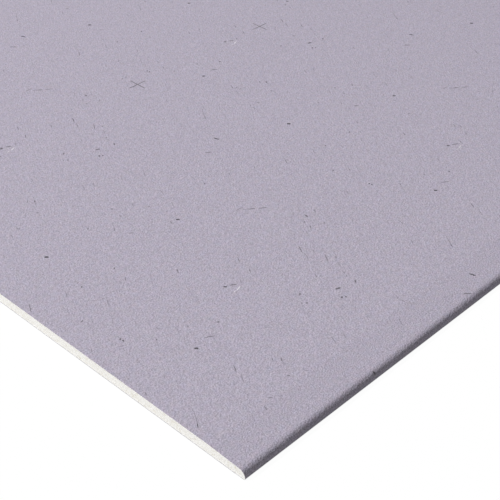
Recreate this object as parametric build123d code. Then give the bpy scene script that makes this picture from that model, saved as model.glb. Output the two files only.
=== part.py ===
from build123d import *
import os
from math import atan2, cos, sin

# Drywall sheet: a gypsum core cast between two papers. The face paper lies on the upper side, goes round
# both half-round long edges and is folded under as a hem. The back paper laps over the two hems.
# +X runs along the sheet, +Y across it, +Z up out of its face. The origin is the middle of the back.

# Driving dimensions, in millimetres
sheet_length = 2000.0
sheet_width = 1250.0
sheet_thickness = 12.5
face_paper_thickness = 0.35
back_paper_thickness = 0.35
taper_width = 48.0        # strip along each long edge on which the face slopes down
taper_depth = 2.3         # fall of that slope, run on as far as the edge
core_arris_radius = 1.2   # small round of the core between its long edge and its back
side_height = 0.6         # upright stretch of the long edge between the half-round nose and that arris
hem_width = 32.0          # face paper folded under the core, counted from the long edge
bare_hem_width = 12.0     # part of the hem that the back paper leaves uncovered

# Heights and half widths that follow from them
edge_y = sheet_width / 2
hem_bottom = back_paper_thickness
hem_end_y = edge_y - hem_width


def wrapped_outline():
    """Cross-section of the core together with its face paper, as if the hems met under the middle."""
    arris_radius = core_arris_radius + face_paper_thickness
    shoulder = Vector(edge_y - taper_width, sheet_thickness)
    slope_foot = Vector(edge_y, sheet_thickness - taper_depth)
    slope_angle = atan2(taper_depth, taper_width)
    downhill = Vector(cos(slope_angle), -sin(slope_angle))

    # The nose leaves the slope as far from its foot as it ends below it, so it is tangent at both ends.
    side_end = Vector(edge_y, hem_bottom + arris_radius)
    nose_end = side_end + Vector(0, side_height)
    nose_start = slope_foot - downhill * (slope_foot.Y - nose_end.Y)
    arris_end = Vector(edge_y - arris_radius, hem_bottom)

    half = Curve() + [
        Line((0, sheet_thickness), shoulder),
        Line(shoulder, nose_start),
        TangentArc(nose_start, nose_end, tangent=downhill),
        Line(nose_end, side_end),
        TangentArc(side_end, arris_end, tangent=(0, -1)),
        Line(arris_end, (0, hem_bottom)),
    ]
    return make_face(half + mirror(half, about=Plane.YZ))


def core_outline():
    """Cross-section of the core: inside the face paper, and down to the back paper between the hems."""
    between_hems = Rectangle(2 * hem_end_y, face_paper_thickness, align=(Align.CENTER, Align.MIN))
    wrapped_core = offset(wrapped_outline(), -face_paper_thickness, kind=Kind.INTERSECTION)
    return wrapped_core + Pos(0, hem_bottom) * between_hems


def run_along_sheet(section):
    """Solid of a cross-section over the whole length, sawn square at both ends."""
    return extrude(Plane.YZ * section, amount=sheet_length / 2, both=True)


def gypsum_core():
    return run_along_sheet(core_outline())


def face_paper():
    return run_along_sheet(wrapped_outline() - core_outline())


def back_paper():
    width = sheet_width - 2 * bare_hem_width
    return run_along_sheet(Rectangle(width, back_paper_thickness, align=(Align.CENTER, Align.MIN)))


os.makedirs("parts", exist_ok=True)
export_step(gypsum_core(), "parts/gypsum_core.step")
export_step(face_paper(), "parts/face_paper.step")
export_step(back_paper(), "parts/back_paper.step")
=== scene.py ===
import math

import bpy
import numpy as np
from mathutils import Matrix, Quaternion, Vector


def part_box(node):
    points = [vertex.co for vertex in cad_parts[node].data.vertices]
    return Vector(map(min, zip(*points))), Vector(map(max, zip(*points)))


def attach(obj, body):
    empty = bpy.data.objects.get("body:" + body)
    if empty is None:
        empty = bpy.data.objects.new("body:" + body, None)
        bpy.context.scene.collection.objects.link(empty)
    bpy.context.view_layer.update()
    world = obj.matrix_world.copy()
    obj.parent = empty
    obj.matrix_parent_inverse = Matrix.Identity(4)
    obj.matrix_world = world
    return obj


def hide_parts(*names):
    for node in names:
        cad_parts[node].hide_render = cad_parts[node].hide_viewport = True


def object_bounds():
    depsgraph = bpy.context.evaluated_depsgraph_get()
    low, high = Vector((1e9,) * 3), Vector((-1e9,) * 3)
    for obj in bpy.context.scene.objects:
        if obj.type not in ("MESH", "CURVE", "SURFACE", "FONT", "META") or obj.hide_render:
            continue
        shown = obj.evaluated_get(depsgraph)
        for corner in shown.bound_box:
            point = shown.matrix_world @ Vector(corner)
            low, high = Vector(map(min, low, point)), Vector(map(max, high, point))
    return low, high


# Looks of the drywall sheet: paper and sawn core with fine relief, the flecks of the recycled paper, printed
# crosses, and a white studio with one lamp. +X runs along the sheet, +Y across it, +Z up.

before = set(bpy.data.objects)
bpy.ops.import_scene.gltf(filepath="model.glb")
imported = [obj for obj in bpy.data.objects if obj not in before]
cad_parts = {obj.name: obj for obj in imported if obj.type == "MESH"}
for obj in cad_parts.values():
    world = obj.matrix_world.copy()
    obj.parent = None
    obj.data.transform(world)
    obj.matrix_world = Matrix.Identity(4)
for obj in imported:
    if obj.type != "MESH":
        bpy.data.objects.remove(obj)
cad_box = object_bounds()

# Sizes in metres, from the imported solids
high = cad_box[1]
core_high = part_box("gypsum_core")[1]
back_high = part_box("back_paper")[1]
half_length = high.x
half_width = high.y
thickness = high.z
back_paper_thickness = back_high.z
face_paper_thickness = half_width - core_high.y

# Section of the long edges in metres, as in the part's source
taper_width = 0.048
taper_depth = 0.0023
core_arris_radius = 0.0012
hem_width = 0.032
side_height = 0.0006

# What follows from it: the slope of the face, the half-round nose and the arris under it
shoulder_y = half_width - taper_width
hem_end_y = half_width - hem_width
slope = math.atan2(taper_depth, taper_width)
arris_radius = core_arris_radius + face_paper_thickness
arris_y = half_width - arris_radius
arris_z = back_paper_thickness + arris_radius
nose_end_z = arris_z + side_height
nose_tangent = thickness - taper_depth - nose_end_z
nose_radius = nose_tangent * math.tan(math.pi / 4 + slope / 2)
nose_y = half_width - nose_radius

# Points of half a section, from the middle of the face to the end of the hem
flat_points = 245
taper_points = 16
nose_points = 14
arris_points = 9
hem_points = 13

near_corner = Vector((-half_length, -half_width, 0))
millimetre = 0.001
nose_roughness = 0.14 * millimetre
sawn_pitch = 1.0 * millimetre  # between the points of the relief on the sawn ends
relief_crease = 60             # degrees from which an edge of the paper or the core stays sharp
rng = np.random.default_rng(20260)
felt_rng = np.random.default_rng(414)


def edge_profile(inset):
    """Half section from the middle of the face round one long edge to the end of the hem, as (y, z) points.

    inset moves every point into the sheet, square to the surface, so 0 is the paper's outer side.
    """
    flat_y = np.linspace(0, shoulder_y, flat_points)
    flat = np.column_stack([flat_y, np.full_like(flat_y, thickness - inset)])
    nose_start_y = half_width - nose_tangent * math.cos(slope)
    slope_y = np.linspace(shoulder_y, nose_start_y, taper_points + 2)[1:-1]
    slope_z = thickness - (slope_y - shoulder_y) * math.tan(slope)
    taper = np.column_stack([slope_y - inset * math.sin(slope), slope_z - inset * math.cos(slope)])
    turn = np.linspace(math.pi / 2 - slope, 0, nose_points)
    reach = nose_radius - inset
    nose = np.column_stack([nose_y + reach * np.cos(turn), nose_end_z + reach * np.sin(turn)])
    turn = np.linspace(0, -math.pi / 2, arris_points)
    reach = arris_radius - inset
    arris = np.column_stack([arris_y + reach * np.cos(turn), arris_z + reach * np.sin(turn)])
    hem_y = np.linspace(arris_y, hem_end_y, hem_points + 1)[1:]
    hem = np.column_stack([hem_y, np.full_like(hem_y, back_paper_thickness + inset)])
    return np.vstack([flat, taper, nose, arris, hem])


def upper_height(y, inset=0.0):
    """Height of the upper side at the places y across the sheet, or of a layer inset below it."""
    out = np.abs(y)
    sloping = thickness - np.clip(out - shoulder_y, 0, None) * math.tan(slope) - inset / math.cos(slope)
    reach = nose_radius - inset
    nose = nose_end_z + np.sqrt(np.clip(reach**2 - (out - nose_y) ** 2, 0, None))
    return np.where(out > nose_y + reach * math.sin(slope), nose, np.minimum(thickness - inset, sloping))


def core_floor(y):
    """Height of the core's lower side: on the back paper, on the hems, then round the arris."""
    out = np.abs(y)
    over_hem = back_paper_thickness + face_paper_thickness
    arris = arris_z - np.sqrt(np.clip(core_arris_radius**2 - (out - arris_y) ** 2, 0, None))
    return np.where(out > arris_y, arris, np.where(out > hem_end_y, over_hem, back_paper_thickness))


def both_sides(half):
    """A half section mirrored about the middle, from the hem end at -y to the one at +y."""
    mirrored = half[:0:-1] * np.array([-1, 1])
    return np.vstack([mirrored, half])


def wander(count, reach, amount):
    """Smooth seeded wobble between 0 and amount, with waves a few times reach steps long."""
    middle = 0.5
    swing = 0.28
    kernel = np.hanning(2 * reach + 3)
    noise = np.convolve(rng.normal(size=count + len(kernel)), kernel / np.sqrt((kernel**2).sum()), "same")
    return amount * np.clip(middle + swing * noise[:count], 0, 1)


def add_piece(name, points, faces, material, crease=30):
    """Smooth mesh that rides on the sheet, in its frame. Edges sharper than crease degrees stay sharp."""
    mesh = bpy.data.meshes.new(name)
    mesh.from_pydata(np.asarray(points).tolist(), [], [np.asarray(face).tolist() for face in faces])
    mesh.validate()
    mesh.shade_smooth()
    mesh.set_sharp_from_angle(angle=math.radians(crease))
    mesh.materials.append(material)
    piece = bpy.data.objects.new(name, mesh)
    bpy.context.scene.collection.objects.link(piece)
    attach(piece, "root")
    return piece


def strip_faces(one, other):
    """Quads between two equally long rows of point numbers."""
    one = np.asarray(one)
    other = np.asarray(other)
    return np.column_stack([one[:-1], one[1:], other[1:], other[:-1]])


def bridge_faces(one, other):
    """Faces between two rows of point numbers over the same stretch, one for each step of the coarser row.

    The finer row has a whole number of steps to each step of the coarser one.
    """
    steps = min(len(one), len(other)) - 1
    one_stride = (len(one) - 1) // steps
    other_stride = (len(other) - 1) // steps
    faces = []
    for i in range(steps):
        there = one[i * one_stride:(i + 1) * one_stride + 1]
        back = other[i * other_stride:(i + 1) * other_stride + 1]
        faces.append([*there, *back[::-1]])
    return faces


def grid_faces(numbers):
    """Quads of a grid of point numbers."""
    return np.vstack([strip_faces(row, following) for row, following in zip(numbers[:-1], numbers[1:])])


class Shader:
    """Small helper that adds nodes to one material and links them by socket name."""

    def __init__(self, name, roughness, specular):
        self.material = bpy.data.materials.new(name)
        self.material.use_nodes = True
        self.tree = self.material.node_tree
        self.surface = self.tree.nodes["Principled BSDF"]
        self.surface.inputs["Roughness"].default_value = roughness
        self.surface.inputs["Specular IOR Level"].default_value = specular
        self.place = self.add("ShaderNodeTexCoord").outputs["Object"]

    def add(self, kind, **settings):
        node = self.tree.nodes.new(kind)
        for key, value in settings.items():
            setattr(node, key, value)
        return node

    def link(self, source, target):
        self.tree.links.new(source, target)

    def noise(self, size, detail=0.0, roughness=0.55, stretch=None, angle=0.0, output="Fac"):
        """Noise with features about size metres wide, drawn out along one direction if stretch is given."""
        node = self.add("ShaderNodeTexNoise")
        node.inputs["Scale"].default_value = 1 / size
        node.inputs["Detail"].default_value = detail
        node.inputs["Roughness"].default_value = roughness
        source = self.place
        if stretch:
            mapping = self.add("ShaderNodeMapping")
            mapping.inputs["Rotation"].default_value = (0, 0, -angle)
            self.link(self.place, mapping.inputs["Vector"])
            squeeze = self.add("ShaderNodeVectorMath", operation="MULTIPLY")
            squeeze.inputs[1].default_value = (1 / stretch, 1, 1)
            self.link(mapping.outputs["Vector"], squeeze.inputs[0])
            source = squeeze.outputs["Vector"]
        self.link(source, node.inputs["Vector"])
        return node.outputs[output]

    def math(self, operation, *operands):
        """Result of a Math node. Each operand is a socket or a plain number."""
        node = self.add("ShaderNodeMath", operation=operation)
        for socket, operand in zip(node.inputs, operands):
            if isinstance(operand, (int, float)):
                socket.default_value = operand
            else:
                self.link(operand, socket)
        return node.outputs["Value"]

    def weigh(self, parts):
        """Weighted sum of how far each part is from the middle of a noise, plus that middle."""
        middle = 0.5
        total = middle - middle * sum(weight for _, weight in parts)
        for value, weight in parts:
            total = self.math("MULTIPLY_ADD", value, weight, total)
        return total

    def ramp(self, value, stops):
        """Colour from a value, in straight runs between stops of (position, colour)."""
        node = self.add("ShaderNodeValToRGB")
        points = node.color_ramp.elements
        while len(points) < len(stops):
            points.new(position=0.5)
        for point, (position, colour) in zip(points, stops):
            point.position = position
            point.color = (*colour, 1)
        self.link(value, node.inputs["Fac"])
        return node.outputs["Color"]

    def tint(self, colour, size, amount):
        """The colour with its red and blue, above all, a little stronger or weaker from place to place."""
        swing = (amount, amount / 3, amount)
        noise = self.noise(size, output="Color")
        spread = self.add("ShaderNodeVectorMath", operation="MULTIPLY_ADD")
        spread.inputs[1].default_value = swing
        spread.inputs[2].default_value = [1 - part / 2 for part in swing]
        self.link(noise, spread.inputs[0])
        product = self.add("ShaderNodeVectorMath", operation="MULTIPLY")
        self.link(colour, product.inputs[0])
        self.link(spread.outputs["Vector"], product.inputs[1])
        return product.outputs["Vector"]

    def paint(self, colour):
        self.link(colour, self.surface.inputs["Base Color"])

    def near_edge(self, stops):
        """Value by the distance from the nearer long edge, in straight runs between stops.

        A stop is a distance in millimetres and a value, and the first one is the farthest.
        """
        far = stops[0][0] * millimetre
        split = self.add("ShaderNodeSeparateXYZ")
        self.link(self.place, split.inputs["Vector"])
        out = self.math("ABSOLUTE", split.outputs["Y"])
        share = self.add("ShaderNodeMapRange")
        share.inputs["From Min"].default_value = half_width - far
        share.inputs["From Max"].default_value = half_width
        self.link(out, share.inputs["Value"])
        levels = [(1 - distance * millimetre / far, (value, value, value)) for distance, value in stops]
        return self.ramp(share.outputs["Result"], levels)

    def bump(self, height):
        """Relief of the given height. Its depth in metres goes to the socket that comes back."""
        node = self.add("ShaderNodeBump")
        self.link(height, node.inputs["Height"])
        self.link(node.outputs["Normal"], self.surface.inputs["Normal"])
        return node.inputs["Distance"]


def shade(colour, factor):
    """The colour made darker or lighter by a factor."""
    return tuple(c * factor for c in colour)


def paper_material(name, colour, fibre_angle, grain=0.34):
    """Matt recycled paper: a crisp grain of colour on felt, with painted shade and painted blotches of light
    and shade at the foot of the nose.
    """
    # Stops in millimetres from the edge: painted blotches of light and shade where the lit nose turns into
    # shadow, then painted shade just below it
    painted_blotch_stops = [(2.0, 0), (1.5, 1), (1.1, 1), (0.7, 0.3), (0.3, 0.1), (0, 0)]
    painted_shade_stops = [(2.0, 0), (1.4, 0.8), (1.0, 1), (0.5, 0.8), (0.1, 0), (0, 0)]
    felt_depths = [(10, 0.40), (8, 0.50), (5, 0.45), (3, 0.4), (0, 0.4)]  # both numbers in millimetres
    pulp_size = 0.0013
    felt_size = 0.0019
    fibre_size = 0.0009
    fibre_stretch = 5
    fibre_weight = 0.15
    painted_blotch_size = 0.0021
    painted_blotch_strength = 1.6
    painted_shade_strength = 0.11

    shader = Shader(name, roughness=0.92, specular=0.2)
    pulp = shader.noise(pulp_size)
    felt = shader.noise(felt_size)
    fibres = shader.noise(fibre_size, detail=1, stretch=fibre_stretch, angle=fibre_angle)
    tone = shader.weigh([(pulp, 1.0), (fibres, fibre_weight)])
    painted_blotch_share = shader.near_edge(painted_blotch_stops)
    painted_shade = shader.near_edge(painted_shade_stops)
    # Painted blotches of light and shade, strongest where the lit nose turns into shadow
    painted_blotches = shader.math("MULTIPLY_ADD", shader.noise(painted_blotch_size), painted_blotch_strength, -painted_blotch_strength / 2)
    tone = shader.math("MULTIPLY_ADD", painted_blotches, painted_blotch_share, tone)
    # Painted shade: the paper is made a little darker just below where the nose turns into shadow
    tone = shader.math("MULTIPLY_ADD", painted_shade, -painted_shade_strength, tone)
    dark = shade(colour, 1 - grain)
    light = shade(colour, 1 + grain)
    base = shader.ramp(tone, [(0.0, dark), (0.5, colour), (1.0, light)])
    shader.paint(shader.tint(base, size=0.006, amount=0.085))
    depth = shader.near_edge([(distance, deep * millimetre) for distance, deep in felt_depths])
    relief = shader.bump(shader.weigh([(felt, 1.0), (fibres, fibre_weight)]))
    shader.link(depth, relief)
    return shader.material


def gypsum_material():
    """Sawn plaster: off-white, with tiny pores and a few buff and brown specks."""
    fine_size = 0.0014
    speck_size = 0.0026
    patch_size = 0.02
    pore_brown = (0.66, 0.60, 0.50)
    buff = (0.80, 0.775, 0.715)
    off_white = (0.866, 0.853, 0.824)
    bright_white = (0.91, 0.90, 0.875)

    shader = Shader("sawn_gypsum", roughness=0.95, specular=0.15)
    fine = shader.noise(fine_size, detail=2)
    specks = shader.noise(speck_size, detail=2)
    patches = shader.noise(patch_size, detail=2)
    tone = shader.weigh([(fine, 0.85), (specks, 1.25), (patches, 0.3)])
    base = shader.ramp(tone, [(0.08, pore_brown), (0.28, buff), (0.5, off_white), (0.9, bright_white)])
    shader.paint(base)
    relief = shader.bump(shader.weigh([(fine, 1.0), (specks, 0.6)]))
    relief.default_value = 0.12 * millimetre
    return shader.material


def fleck_material(name, colour):
    """Tone of a fleck or of ink, a little different from one spot to the next."""
    spot_size = 0.03
    dark = shade(colour, 0.75)
    light = shade(colour, 1.3)
    shader = Shader(name, roughness=0.9, specular=0.2)
    tone = shader.noise(spot_size, detail=3)
    shader.paint(shader.ramp(tone, [(0.25, dark), (0.75, light)]))
    return shader.material


lilac = (0.430, 0.395, 0.477)
liner_grey = (0.43, 0.402, 0.466)
cut_paper_white = (0.83, 0.81, 0.80)
fibre_direction = math.radians(60)
face_material = paper_material("face_paper_lilac", lilac, fibre_direction)
back_material = paper_material("back_paper_grey", liner_grey, fibre_angle=0, grain=0.08)
cut_material = paper_material("cut_paper_edge", cut_paper_white, fibre_angle=0, grain=0.1)
core_material = gypsum_material()


def nose_relief(x):
    """Seeded unevenness of the paper round one nose, from the slope down, at the places x along the sheet.

    It is strongest below the middle of the nose and fades to nothing at its two sides and at the sawn ends.
    """
    fade_length = 4 * millimetre
    lowering = 1.5  # power that puts the strongest place below the middle
    limit = 2       # largest unevenness, in multiples of the roughness
    down = np.sin(math.pi * np.linspace(0, 1, nose_points) ** lowering)
    along = np.clip((half_length - np.abs(x)) / fade_length, 0, 1)
    height = np.clip(felt_rng.normal(size=(nose_points, len(x))), -limit, limit) * nose_roughness
    return height * down[:, None] * along


def face_paper_skin():
    """The facing paper as a closed skin: outer side, inner side, hem ends and slightly ragged sawn edges.

    Each point of the section becomes a row of points along the sheet, and the uneven noses have fine rows.
    """
    ragged_depth = 0.08 * millimetre
    ragged_reach = 2
    coarse_steps = 24
    fine_steps = 80 * coarse_steps
    coarse = np.linspace(-half_length, half_length, coarse_steps + 1)
    fine = np.linspace(-half_length, half_length, fine_steps + 1)
    outer = both_sides(edge_profile(0))
    inner = both_sides(edge_profile(face_paper_thickness))
    section = np.vstack([outer, inner[::-1]])
    near_cut = wander(len(section), ragged_reach, ragged_depth)
    far_cut = wander(len(section), ragged_reach, ragged_depth)
    middle = len(outer) // 2
    nose_first = flat_points + taper_points
    relief = {}
    for side in (-1, 1):
        for k, height in enumerate(nose_relief(fine)):
            relief[middle + side * (nose_first + k)] = height
    rows = []
    points = []
    for i, (y, z) in enumerate(section):
        x = np.array(fine if i in relief else coarse)
        x[0] += near_cut[i]
        x[-1] -= far_cut[i]
        row = np.column_stack([x, np.full_like(x, y), np.full_like(x, z)])
        if i in relief:
            outwards = np.array([0, y - math.copysign(nose_y, y), z - nose_end_z]) / nose_radius
            row += relief[i][:, None] * outwards
        rows.append(len(points) + np.arange(len(x)))
        points.extend(row)
    faces = []
    for row, following in zip(rows, rows[1:] + rows[:1]):
        faces.extend(bridge_faces(row, following))
    near_end = np.array([row[0] for row in rows])
    far_end = np.array([row[-1] for row in rows])
    near_edge = strip_faces(near_end[:len(outer)], near_end[len(outer):][::-1])
    far_edge = strip_faces(far_end[len(outer):][::-1], far_end[:len(outer)])
    faces.extend([*near_edge, *far_edge])
    piece = add_piece("face_paper_skin", points, faces, face_material, crease=relief_crease)
    piece.data.materials.append(cut_material)
    for polygon in piece.data.polygons[-len(near_edge) - len(far_edge):]:
        polygon.material_index = 1
    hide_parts("face_paper")


def sawn_relief(y, z):
    """Depth of the sawn surface below the plane of the cut: fine roughness, saw strokes and open pores.

    The depths named here are in millimetres.
    """
    rough_depth = 0.05
    pore_share = 0.04
    pore_depths = (0.08, 0.2)
    stroke_depth = 0.02
    stroke_across = 1.9
    stroke_up = 0.9
    sway = 2.5
    sway_rate = 40
    lattice = (int(thickness / sawn_pitch) + 3, int(2 * half_width / sawn_pitch) + 3)
    rough = rng.uniform(0, rough_depth, lattice)
    rough += np.where(rng.random(lattice) < pore_share, rng.uniform(*pore_depths, lattice), 0)
    row, row_share = np.divmod(z / sawn_pitch, 1)
    column, column_share = np.divmod((y + half_width) / sawn_pitch, 1)
    row, column = row.astype(int), column.astype(int)
    lower = rough[row, column] * (1 - column_share) + rough[row, column + 1] * column_share
    upper = rough[row + 1, column] * (1 - column_share) + rough[row + 1, column + 1] * column_share
    phase = (stroke_across * y + stroke_up * z) / sawn_pitch + sway * np.sin(sway_rate * y)
    strokes = stroke_depth * (1 + np.sin(phase))
    return (lower * (1 - row_share) + upper * row_share + strokes) * millimetre


def sawn_core():
    """The gypsum core with both sawn ends as relief. Its long sides lie against the papers."""
    hem_step = 0.05 * millimetre  # half the run over which the floor steps up on to a hem
    rows = 13
    nose_columns = 30
    last_turn = math.radians(89)
    border_share = 0.15           # of the relief that is left where the core meets the papers
    reach = nose_radius - face_paper_thickness
    nose_start = nose_y + reach * math.sin(slope)
    half = np.concatenate([
        np.arange(0, hem_end_y - hem_step, sawn_pitch),
        [hem_end_y - hem_step, hem_end_y + hem_step],
        np.arange(hem_end_y + sawn_pitch, nose_start, sawn_pitch),
        nose_y + reach * np.sin(np.linspace(slope, last_turn, nose_columns)),
    ])
    y = np.concatenate([-half[:0:-1], half])
    bottom = core_floor(y)
    top = upper_height(y, face_paper_thickness)
    z = np.linspace(bottom, top, rows)
    place = np.broadcast_to(y, z.shape)
    depth_share = np.ones((rows, 1))
    depth_share[[0, -1]] = border_share
    points = []
    for side in (-1, 1):
        x = side * (half_length - depth_share * sawn_relief(place, z))
        points.append(np.dstack([x, place, z]).reshape(-1, 3))
    near, far = np.arange(2 * rows * len(y)).reshape(2, rows, len(y))
    faces = np.vstack([
        grid_faces(near[:, ::-1]),
        grid_faces(far),
        strip_faces(far[-1], near[-1]),
        strip_faces(near[0], far[0]),
        strip_faces(far[:, 0], near[:, 0]),
        strip_faces(near[:, -1], far[:, -1]),
    ])
    points = np.vstack(points)
    piece = add_piece("sawn_gypsum_core", points, faces, core_material, crease=relief_crease)
    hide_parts("gypsum_core")


face_paper_skin()
sawn_core()
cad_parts["back_paper"].data.materials.clear()
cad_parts["back_paper"].data.materials.append(back_material)

# Flecks in the facing paper. The paper repeats its flecks; a fleck is its place from the near corner, its
# length and width, all in millimetres, and its angle from +X in degrees.
repeat_x = 414.4
repeat_y = 415.7
dark_flecks = [
    (89.5, 159.5, 4.6, 3.0, -42), (78.5, 399.0, 5.2, 3.9, -46), (236.5, 344.5, 4.6, 2.9, -44),
    (136.0, 173.5, 2.6, 1.8, -40), (398.0, 26.0, 8.5, 2.2, -72), (184.5, 211.5, 4.4, 2.6, -44),
    (43.0, 228.5, 2.6, 1.7, 35), (43.5, 224.5, 3.0, 1.7, 60), (195.0, 2.5, 2.6, 2.0, -45),
]
soft_flecks = [
    (193.5, 207.5, 8.5, 2.1, -30), (113.0, 162.5, 12.0, 1.5, -30), (271.0, 118.5, 6.4, 3.3, -18),
    (294.5, 113.0, 5.0, 2.2, 50), (262.0, 105.0, 3.6, 2.5, 44), (266.0, 102.5, 2.8, 1.8, 50),
    (350.5, 238.0, 4.6, 2.7, 85), (33.5, 280.5, 3.6, 1.7, 20), (119.5, 326.5, 3.8, 1.7, 45),
    (167.0, 271.0, 7.5, 1.2, 60), (95.5, 108.0, 12.0, 1.0, 60), (10.5, 75.5, 7.5, 0.8, 57),
    (133.0, 89.5, 6.0, 0.9, 55), (139.5, 83.0, 5.0, 1.8, 55), (295.5, 198.0, 12.5, 1.5, 61),
    (304.5, 165.5, 15.0, 1.1, 57), (8.0, 339.0, 15.5, 1.0, 60), (225.0, 212.0, 9.5, 1.0, 58),
    (230.5, 235.5, 9.0, 1.0, 60), (337.0, 219.5, 4.6, 1.2, 55), (313.0, 377.0, 3.6, 1.4, 40),
    (315.0, 296.0, 8.0, 2.0, -34), (71.5, 327.0, 2.8, 2.1, 45), (169.0, 383.5, 6.0, 0.9, 52),
    (69.5, 200.0, 3.4, 1.3, 55), (367.0, 10.0, 9.0, 2.1, -40),
]
faint_flecks = [
    (233.5, 142.5, 4.8, 2.4, 35), (227.5, 126.5, 3.2, 2.4, 50), (223.0, 130.0, 3.0, 1.2, 50),
    (339.5, 231.5, 4.4, 1.8, 40), (309.5, 300.5, 7.5, 1.4, -38), (325.5, 288.0, 11.5, 2.1, -33),
    (304.5, 307.0, 11.0, 1.4, -6), (90.0, 92.0, 14.0, 0.7, 60), (16.5, 84.5, 28.0, 0.75, 57),
    (137.5, 78.5, 7.0, 0.8, 60), (201.0, 63.5, 12.5, 1.1, 67), (214.0, 59.5, 9.0, 1.2, 63),
    (275.0, 31.5, 13.0, 0.9, 61), (290.5, 184.0, 15.0, 1.2, 63), (305.5, 146.5, 10.0, 1.0, 64),
    (204.0, 206.0, 7.0, 1.3, 52), (398.0, 113.0, 11.0, 0.9, 55), (219.0, 406.5, 9.0, 1.2, 50),
    (174.0, 391.5, 16.0, 0.5, 63), (58.5, 259.5, 32.0, 0.5, 56), (74.0, 284.5, 11.0, 1.0, 59),
    (51.0, 329.0, 13.0, 0.8, 61), (115.5, 302.5, 8.0, 1.2, 55), (253.5, 372.0, 14.0, 0.9, 64),
    (355.0, 213.5, 6.0, 1.1, 50), (342.5, 253.0, 7.0, 0.9, 46), (297.5, 132.5, 3.4, 1.5, 60),
    (296.0, 127.0, 3.0, 1.0, 55), (313.0, 158.5, 3.2, 2.1, 50), (271.0, 152.0, 7.0, 1.2, 66),
    (126.5, 61.0, 3.6, 2.2, -40), (90.0, 51.5, 5.0, 1.8, -50), (178.5, 364.5, 6.5, 1.8, -35),
    (148.5, 408.0, 3.4, 1.6, 30), (192.5, 399.5, 5.5, 1.7, 80), (9.5, 236.5, 7.0, 1.0, 50),
    (66.0, 194.5, 9.0, 0.6, 58), (312.0, 223.0, 3.0, 1.4, 45), (5.5, 146.5, 6.0, 1.1, 66),
    (75.5, 45.0, 7.0, 1.2, 70), (108.0, 192.0, 3.0, 1.8, 45), (262.0, 400.0, 12.0, 0.8, 70),
    (305.0, 61.0, 9.0, 0.9, 55), (71.5, 236.0, 9.0, 0.7, 60), (230.5, 389.0, 4.5, 1.3, 85),
]
pale_fibres = [(193.5, 199.0, 8.0, 1.5, 18), (186.5, 198.0, 5.0, 0.8, 5)]
scattered_count = 260

# Tones of the flecks
dark_tone = (0.105, 0.098, 0.115)
soft_tone = (0.19, 0.175, 0.205)
faint_tone = (0.26, 0.24, 0.285)
pale_tone = (0.64, 0.62, 0.66)


def repeated(flecks):
    """The flecks of every repeat that lie on the face, as rows in millimetres from the near corner."""
    margin = 2
    length, width = 2 * half_length / millimetre, 2 * half_width / millimetre
    rows = []
    for x, y, *shape in flecks:
        for at_x in np.arange(x, length, repeat_x):
            for at_y in np.arange(y, width, repeat_y):
                inside = margin < at_x < length - margin and margin < at_y < width - margin
                if inside:
                    rows.append((at_x, at_y, *shape))
    return rows


def scattered(count):
    """Seeded small flecks over the whole face, most of them drawn out along the fibres."""
    margin = 12
    lengths = (2.5, 9.0)
    widths = (0.7, 1.4)
    along_fibres = 0.7
    fibre_angle = 57
    fibre_spread = 9
    x = rng.uniform(margin, 2 * half_length / millimetre - margin, count)
    y = rng.uniform(margin, 2 * half_width / millimetre - margin, count)
    length = rng.uniform(*lengths, count)
    width = rng.uniform(*widths, count)
    drawn_out = rng.random(count) < along_fibres
    angle = np.where(drawn_out, rng.normal(fibre_angle, fibre_spread, count), rng.uniform(-90, 90, count))
    return list(zip(x, y, length, width, angle))


def add_flecks(name, flecks, material):
    """One mesh of thin closed pads just proud of the paper: blunt flecks, and hairs that bend and taper."""
    proud = 0.02 * millimetre
    sunk = 0.03 * millimetre
    hair_ratio = 10    # of length to width, from which a fleck is wholly a hair
    blunt_taper = 0.7
    hair_taper = 0.5   # added for a hair
    blunt_bend = 0.015
    hair_bend = 0.02   # added for a hair
    bend_middle = 0.3  # keeps a bent hair about its place
    side_wobble = (0.75, 1.15)
    rim = 18
    turn = np.linspace(0, 2 * math.pi, rim, endpoint=False)
    upper = np.arange(rim)
    lower = upper + rim
    walls = np.column_stack([upper, lower, np.roll(lower, -1), np.roll(upper, -1)])
    points = []
    faces = []
    for x, y, length, width, angle in flecks:
        slender = min(length / width / hair_ratio, 1)
        taper = blunt_taper + hair_taper * slender
        ends = np.sign(np.cos(turn)) * np.abs(np.cos(turn)) ** taper
        sides = np.sign(np.sin(turn)) * np.abs(np.sin(turn)) ** taper
        bend = rng.normal(0, blunt_bend + hair_bend * slender) * length * (ends**2 - bend_middle)
        along = ends * length / 2
        across = sides * rng.uniform(*side_wobble, rim) * width / 2 + bend
        tilt = math.radians(angle)
        at_x = near_corner.x + (x + along * math.cos(tilt) - across * math.sin(tilt)) * millimetre
        at_y = near_corner.y + (y + along * math.sin(tilt) + across * math.cos(tilt)) * millimetre
        height = upper_height(at_y)
        first = len(points) * rim
        lift = np.where(np.abs(at_y) > nose_y, 2 * nose_roughness, proud)
        points.append(np.column_stack([at_x, at_y, height + lift]))
        points.append(np.column_stack([at_x, at_y, height - sunk]))
        faces.extend([first + upper, first + lower[::-1], *(first + walls)])
    add_piece(name, np.vstack(points), faces, material)


add_flecks("dark_flecks", repeated(dark_flecks), fleck_material("dark_flecks", dark_tone))
add_flecks("soft_flecks", repeated(soft_flecks), fleck_material("soft_flecks", soft_tone))
all_faint = repeated(faint_flecks) + scattered(scattered_count)
add_flecks("faint_flecks", all_faint, fleck_material("faint_flecks", faint_tone))
add_flecks("pale_fibres", repeated(pale_fibres), fleck_material("pale_fibres", pale_tone))


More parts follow.
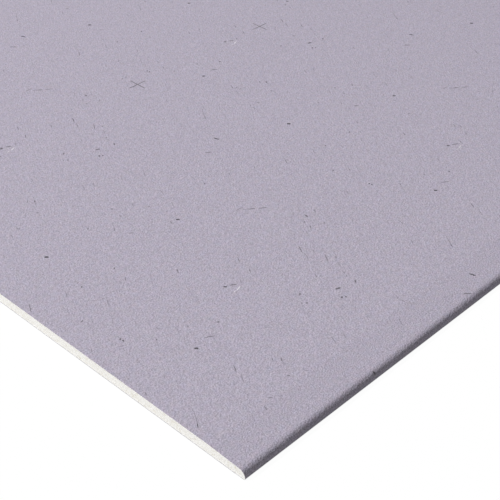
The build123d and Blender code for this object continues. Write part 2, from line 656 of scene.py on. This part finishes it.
def fixing_crosses():
    """Plain crosses printed along the middle of the face, to show where the sheet is screwed to a stud."""
    ink_grey = (0.22, 0.205, 0.235)
    spacing = 0.25
    first = 0.1715
    arms = 4
    reach = 15 * millimetre
    half_line = 0.9 * millimetre
    proud = 0.015 * millimetre
    sunk = 0.02 * millimetre
    corner = np.array([(half_line, half_line), (half_line, reach), (-half_line, reach)])
    quarter = np.array([(0, -1), (1, 0)])
    outline = np.vstack([corner @ np.linalg.matrix_power(quarter, -k) for k in range(arms)])
    count = len(outline)
    points = []
    faces = []
    for x in np.arange(near_corner.x + first, half_length, spacing):
        base = len(points) * 2 * count
        top = np.column_stack([outline + (x, 0), np.full(count, thickness + proud)])
        bottom = np.column_stack([outline + (x, 0), np.full(count, thickness - sunk)])
        points.append(np.vstack([top, bottom]))
        upper = base + np.arange(count)
        lower = upper + count
        faces.append(upper)
        faces.append(lower[::-1])
        for i in range(count):
            following = (i + 1) % count
            faces.append((upper[i], lower[i], lower[following], upper[following]))
    ink = fleck_material("mark_ink", ink_grey)
    add_piece("fixing_crosses", np.vstack(points), faces, ink)


fixing_crosses()


def sees_background(tree):
    """1 for rays of the camera, of reflections and through glass, 0 for light that falls on things."""
    path = tree.nodes.new("ShaderNodeLightPath")
    seen = path.outputs["Is Camera Ray"]
    for kind in ("Is Glossy Ray", "Is Transmission Ray"):
        either = tree.nodes.new("ShaderNodeMath")
        either.operation = "MAXIMUM"
        tree.links.new(seen, either.inputs[0])
        tree.links.new(path.outputs[kind], either.inputs[1])
        seen = either.outputs["Value"]
    return seen


def floor():
    """White floor under the sheet. It shows white to the camera, with a painted contact shade right next to
    the sheet, and keeps a light shadow of the sheet.
    """
    reach = 6.0
    drop = 0.05 * millimetre
    bounce_grey = (0.48, 0.48, 0.48, 1)
    plain_white = (1, 1, 1, 1)
    white_share = 0.97
    contact_shade_reach = 0.73 * millimetre
    corners = [(-reach, -reach), (reach, -reach), (reach, reach), (-reach, reach)]
    mesh = bpy.data.meshes.new("floor")
    mesh.from_pydata([(x, y, -drop) for x, y in corners], [], [(0, 1, 2, 3)])
    plane = bpy.data.objects.new("floor", mesh)
    bpy.context.scene.collection.objects.link(plane)
    material = bpy.data.materials.new("floor_white")
    material.use_nodes = True
    tree = material.node_tree
    tree.nodes.clear()
    out = tree.nodes.new("ShaderNodeOutputMaterial")
    bounce = tree.nodes.new("ShaderNodeBsdfDiffuse")
    bounce.inputs["Color"].default_value = bounce_grey
    shadowed = tree.nodes.new("ShaderNodeBsdfDiffuse")
    shadowed.inputs["Color"].default_value = plain_white
    # Painted contact shade: the white that the camera sees is darkened where the sheet stands close by
    contact_shade = tree.nodes.new("ShaderNodeAmbientOcclusion")
    contact_shade.inputs["Distance"].default_value = contact_shade_reach
    white = tree.nodes.new("ShaderNodeEmission")
    white.inputs["Strength"].default_value = 1
    seen = tree.nodes.new("ShaderNodeMixShader")
    seen.inputs["Fac"].default_value = white_share
    choose = tree.nodes.new("ShaderNodeMixShader")
    tree.links.new(contact_shade.outputs["Color"], white.inputs["Color"])
    tree.links.new(shadowed.outputs[0], seen.inputs[1])
    tree.links.new(white.outputs[0], seen.inputs[2])
    tree.links.new(sees_background(tree), choose.inputs["Fac"])
    tree.links.new(bounce.outputs[0], choose.inputs[1])
    tree.links.new(seen.outputs[0], choose.inputs[2])
    tree.links.new(choose.outputs[0], out.inputs["Surface"])
    mesh.materials.append(material)


def world_light(strength):
    """Even light from all round, and plain white where the camera looks past the floor."""
    world = bpy.data.worlds.new("studio")
    bpy.context.scene.world = world
    world.use_nodes = True
    tree = world.node_tree
    tree.nodes.clear()
    out = tree.nodes.new("ShaderNodeOutputWorld")
    even = tree.nodes.new("ShaderNodeBackground")
    even.inputs["Strength"].default_value = strength
    white = tree.nodes.new("ShaderNodeBackground")
    white.inputs["Strength"].default_value = 1
    choose = tree.nodes.new("ShaderNodeMixShader")
    for background in (even, white):
        background.inputs["Color"].default_value = (1, 1, 1, 1)
    tree.links.new(sees_background(tree), choose.inputs["Fac"])
    tree.links.new(even.outputs[0], choose.inputs[1])
    tree.links.new(white.outputs[0], choose.inputs[2])
    tree.links.new(choose.outputs[0], out.inputs["Surface"])


def key_light(aim, towards, distance, softness, irradiance):
    """Round lamp to one side. towards points from the sheet to the lamp, softness is the angle it fills."""
    lamp = bpy.data.lights.new("key", "AREA")
    lamp.shape = "DISK"
    lamp.size = 2 * distance * math.tan(softness / 2)
    lamp.energy = irradiance * math.pi * distance**2
    holder = bpy.data.objects.new("key", lamp)
    holder.location = Vector(aim) + distance * Vector(towards).normalized()
    holder.rotation_mode = "QUATERNION"
    holder.rotation_quaternion = Vector(towards).to_track_quat("Z", "Y")
    bpy.context.scene.collection.objects.link(holder)


def camera(eye, aim, lens, roll):
    """Camera at eye that looks at aim, turned by roll about its line of sight."""
    data = bpy.data.cameras.new("camera")
    data.lens = lens
    data.clip_start = 0.05
    data.clip_end = 200
    holder = bpy.data.objects.new("camera", data)
    holder.location = eye
    holder.rotation_mode = "QUATERNION"
    level = (Vector(aim) - Vector(eye)).to_track_quat("-Z", "Y")
    holder.rotation_quaternion = level @ Quaternion((0, 0, 1), roll)
    bpy.context.scene.collection.objects.link(holder)
    bpy.context.scene.camera = holder


view_centre = near_corner + Vector((0.26518, 0.25091, 0.0))
floor()
world_light(strength=0.235)
key_light(view_centre, towards=(-0.82, 0.80, 1.0), distance=16, softness=math.radians(3), irradiance=3.660)
camera(
    eye=near_corner + Vector((-0.58801, -0.57536, 0.89643)),
    aim=view_centre,
    lens=90.294,
    roll=math.radians(0.116),
)
bpy.context.scene.view_settings.view_transform = "Standard"
